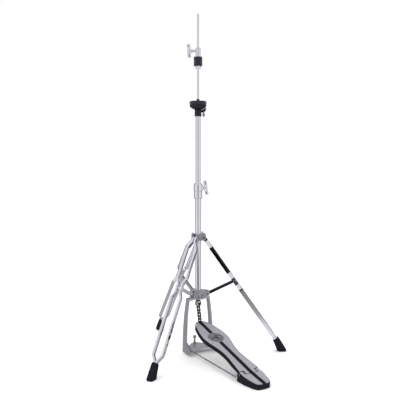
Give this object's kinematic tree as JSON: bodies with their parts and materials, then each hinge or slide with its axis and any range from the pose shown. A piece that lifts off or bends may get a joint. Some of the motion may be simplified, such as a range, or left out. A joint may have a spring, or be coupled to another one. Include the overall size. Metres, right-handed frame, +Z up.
{
  "type": "hi-hat stand",
  "caption": "Folding hi-hat stand: a foot pedal pulls a rod through a telescoping column by a chain; tripod legs, cymbal seat and clutch.",
  "frame": {"origin": "on the floor, under the middle of the footprint; the column's axis stands at Y = +33.75 mm", "axes": "+Z up along the column; the heel of the pedal points along -Y and the rear leg along +Y; +X is the player's right as seen from the heel"},
  "size_m": [0.5072, 0.6406, 1.08],
  "materials": {
    "chrome": "polished chrome plating",
    "steel": "zinc plated steel",
    "nickel": "satin nickel",
    "cast_silver": "silver-grey paint on a casting",
    "chain_steel": "blackened steel",
    "roller_steel": "bright steel",
    "black_paint": "satin black paint",
    "tread": "fine non-slip texture, silver grey",
    "badge": "black with plain raised rings",
    "black_plastic": "moulded",
    "felt": "dense wool felt",
    "rubber": "moulded"
  },
  "bodies": {
    "base": {"lower_tube": "chrome", "height_clamp": "chrome", "clamp_bushing": "black_plastic", "tripod_hub": "cast_silver", "hub_rivets": "steel", "hub_screws": "steel", "rod_bush": "black_plastic", "spring_seat": "steel", "return_spring": "steel", "pedal_frame": "cast_silver", "cross_plate": "cast_silver", "spur_nut": "steel", "frame_pins": "steel", "radius_rods": "steel", "heel_body": "black_paint", "heel_cap": "tread", "heel_stripe": "black_paint", "heel_pad": "rubber", "hinge_axle": "steel"},
    "mast": {"upper_tube": "chrome", "seat_base": "black_plastic", "seat_cone": "black_plastic"},
    "seat": {"seat_cup": "black_plastic", "seat_felt": "felt"},
    "tilt_screw": {"tilt_screw": "steel"},
    "footboard": {"footboard": "black_paint", "tread_plate": "tread", "board_stripe": "black_paint", "board_badge": "badge", "chain_clamp": "black_paint", "clamp_screws": "steel"},
    "pull_rod": {"pull_rod": "chrome", "rod_coupling": "steel", "lower_rod": "steel", "spring_collar": "steel", "rod_lock_nut": "chain_steel", "chain_connector": "nickel", "chain_top_pin": "steel"},
    "chain": {"chain_plates": "chain_steel", "chain_rollers": "roller_steel", "chain_pins": "chain_steel"},
    "clutch": {"clutch_body": "chrome", "clutch_felts": "felt", "clutch_nut": "chrome"},
    "clutch_bolt": {"clutch_wing_bolt": "chrome"},
    "height_bolt": {"height_wing_bolt": "chrome"},
    "collar": {"tripod_collar": "cast_silver", "collar_rivets": "steel"},
    "collar_bolt": {"collar_wing_bolt": "chrome"},
    "spur": {"spur_screw": "steel"},
    "leg_front_right": {"leg_front_right": "chrome", "foot_front_right": "rubber"},
    "strut_front_right": {"strut_front_right": "chrome"},
    "leg_front_left": {"leg_front_left": "chrome", "foot_front_left": "rubber"},
    "strut_front_left": {"strut_front_left": "chrome"},
    "leg_rear": {"leg_rear": "chrome", "foot_rear": "rubber"},
    "strut_rear": {"strut_rear": "chrome"}
  },
  "joints": [
    {"name": "mast_height", "type": "slide", "parent": "base", "child": "mast", "axis": [0, 0, 1], "range_m": [-0.115, 0.03]},
    {"name": "seat_tilt", "type": "hinge", "parent": "mast", "child": "seat", "pos_m": [0, 0.03375, 0.784], "axis": [-0.5, -0.866, 0], "range_deg": [0, 5]},
    {"name": "tilt_screw_travel", "type": "slide", "parent": "mast", "child": "tilt_screw", "axis": [0, 0, 1], "range_m": [0, 0.00157]},
    {"name": "pedal_pivot", "type": "hinge", "parent": "base", "child": "footboard", "pos_m": [0, -0.24725, 0.0205], "axis": [-1, 0, 0], "range_deg": [0, 8]},
    {"name": "rod_pull", "type": "slide", "parent": "base", "child": "pull_rod", "axis": [0, 0, -1], "range_m": [0, 0.037], "stiffness_N_per_m": 500, "springref_m": -0.04, "deforming": ["return_spring"]},
    {"name": "chain_swing", "type": "hinge", "parent": "pull_rod", "child": "chain", "pos_m": [0, 0.03375, 0.155], "axis": [1, 0, 0], "range_deg": [0, 8.6]},
    {"name": "clutch_height", "type": "slide", "parent": "pull_rod", "child": "clutch", "axis": [0, 0, 1], "range_m": [-0.02, 0.1]},
    {"name": "clutch_bolt_turn", "type": "hinge", "parent": "clutch", "child": "clutch_bolt", "pos_m": [-0.01039, 0.03975, 0.965], "axis": [-0.866, 0.5, 0], "continuous": true},
    {"name": "height_bolt_turn", "type": "hinge", "parent": "base", "child": "height_bolt", "pos_m": [0.01386, 0.02575, 0.532], "axis": [0.866, -0.5, 0], "continuous": true},
    {"name": "collar_height", "type": "slide", "parent": "base", "child": "collar", "axis": [0, 0, 1], "range_m": [0, 0.0824]},
    {"name": "collar_bolt_turn", "type": "hinge", "parent": "collar", "child": "collar_bolt", "pos_m": [0.01386, 0.04175, 0.375], "axis": [0.866, 0.5, 0], "continuous": true},
    {"name": "spur_height", "type": "slide", "parent": "base", "child": "spur", "axis": [0, 0, 1], "range_m": [-0.008, 0.014]},
    {"name": "leg_fold_front_right", "type": "hinge", "parent": "collar", "child": "leg_front_right", "pos_m": [0.01645, 0.02425, 0.372], "axis": [0.5, 0.866, 0], "range_deg": [0, 25.2]},
    {"name": "strut_fold_front_right", "type": "hinge", "parent": "base", "child": "strut_front_right", "pos_m": [0.02511, 0.01925, 0.19], "axis": [-0.5, -0.866, 0], "range_deg": [0, 53.2]},
    {"name": "leg_fold_front_left", "type": "hinge", "parent": "collar", "child": "leg_front_left", "pos_m": [-0.01645, 0.02425, 0.372], "axis": [0.5, -0.866, 0], "range_deg": [0, 25.2]},
    {"name": "strut_fold_front_left", "type": "hinge", "parent": "base", "child": "strut_front_left", "pos_m": [-0.02511, 0.01925, 0.19], "axis": [-0.5, 0.866, 0], "range_deg": [0, 53.2]},
    {"name": "leg_fold_rear", "type": "hinge", "parent": "collar", "child": "leg_rear", "pos_m": [0, 0.05275, 0.372], "axis": [-1, 0, 0], "range_deg": [0, 25.2]},
    {"name": "strut_fold_rear", "type": "hinge", "parent": "base", "child": "strut_rear", "pos_m": [0, 0.06275, 0.19], "axis": [1, 0, 0], "range_deg": [0, 53.2]}
  ],
  "couplings": [
    {"joint": "seat_tilt", "follows": "tilt_screw_travel", "rad_per_m": 55.556},
    {"joint": "rod_pull", "follows": "pedal_pivot", "m_per_rad": 0.26456},
    {"joint": "chain_swing", "follows": "pedal_pivot", "ratio": 1.057},
    {"joint": "leg_fold_front_right", "follows": "collar_height", "rad_per_m": 5.2953},
    {"joint": "strut_fold_front_right", "follows": "collar_height", "rad_per_m": 11.226},
    {"joint": "leg_fold_front_left", "follows": "collar_height", "rad_per_m": 5.2953},
    {"joint": "strut_fold_front_left", "follows": "collar_height", "rad_per_m": 11.226},
    {"joint": "leg_fold_rear", "follows": "collar_height", "rad_per_m": 5.2953},
    {"joint": "strut_fold_rear", "follows": "collar_height", "rad_per_m": 11.226}
  ]
}
